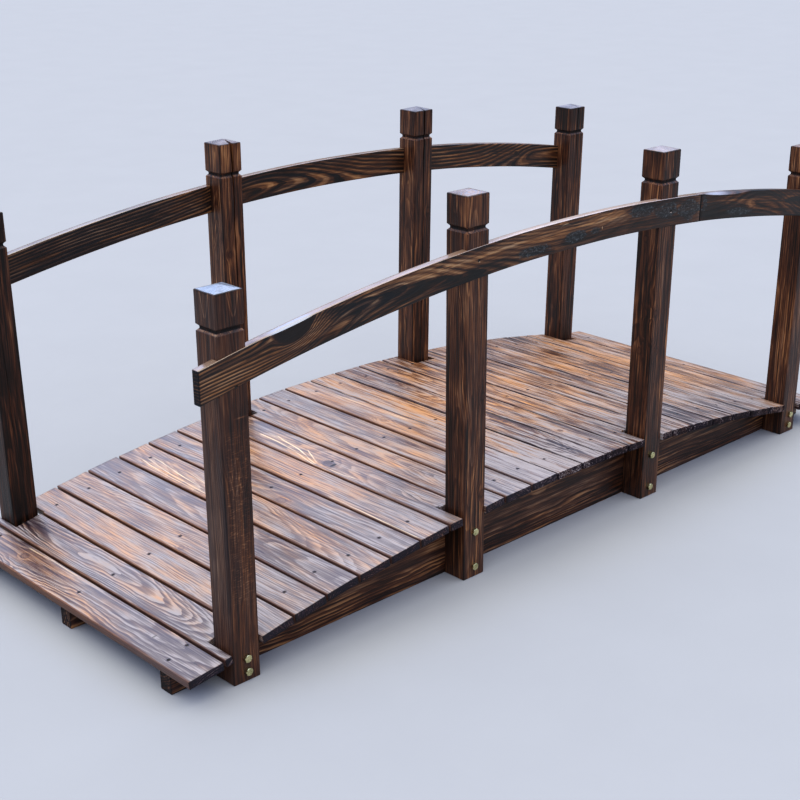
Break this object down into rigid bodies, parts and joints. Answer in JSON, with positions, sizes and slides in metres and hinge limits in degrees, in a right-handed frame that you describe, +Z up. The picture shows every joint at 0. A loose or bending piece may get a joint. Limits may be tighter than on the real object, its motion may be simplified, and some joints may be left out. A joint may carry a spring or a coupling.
{
  "type": "moon bridge",
  "caption": "Arched garden footbridge of timber: flat-soled stringers with arched tops, a boarded deck, square posts and a curved handrail on each side.",
  "frame": {"origin": "on the ground under the middle of the bridge, at the bottom centre of its bounding box", "axes": "+X along the bridge, towards the end where the front handrail's shorter length is; +Y across it, towards the back handrail; +Z up"},
  "size_m": [2.3528, 0.946, 0.926],
  "materials": {
    "deck_wood": "satin",
    "stringer_wood": "satin",
    "post_wood": "satin",
    "handrail_wood": "satin",
    "plated_steel": "satin"
  },
  "bodies": {
    "root": {"stringer_front": "stringer_wood", "stringer_middle": "stringer_wood", "stringer_back": "stringer_wood", "deck_board_01": "deck_wood", "deck_board_02": "deck_wood", "deck_board_03": "deck_wood", "deck_board_04": "deck_wood", "deck_board_05": "deck_wood", "deck_board_06": "deck_wood", "deck_board_07": "deck_wood", "deck_board_08": "deck_wood", "deck_board_09": "deck_wood", "deck_board_10": "deck_wood", "deck_board_11": "deck_wood", "deck_board_12": "deck_wood", "deck_board_13": "deck_wood", "deck_board_14": "deck_wood", "deck_board_15": "deck_wood", "deck_board_16": "deck_wood", "deck_board_17": "deck_wood", "deck_board_18": "deck_wood", "deck_board_19": "deck_wood", "deck_board_20": "deck_wood", "deck_board_21": "deck_wood", "deck_board_22": "deck_wood", "deck_board_23": "deck_wood", "deck_board_24": "deck_wood", "deck_board_25": "deck_wood", "post_front_1": "post_wood", "post_front_2": "post_wood", "post_front_3": "post_wood", "post_front_4": "post_wood", "post_back_1": "post_wood", "post_back_2": "post_wood", "post_back_3": "post_wood", "post_back_4": "post_wood", "handrail_front_long": "handrail_wood", "handrail_front_short": "handrail_wood", "handrail_back": "handrail_wood"}
  },
  "joints": []
}
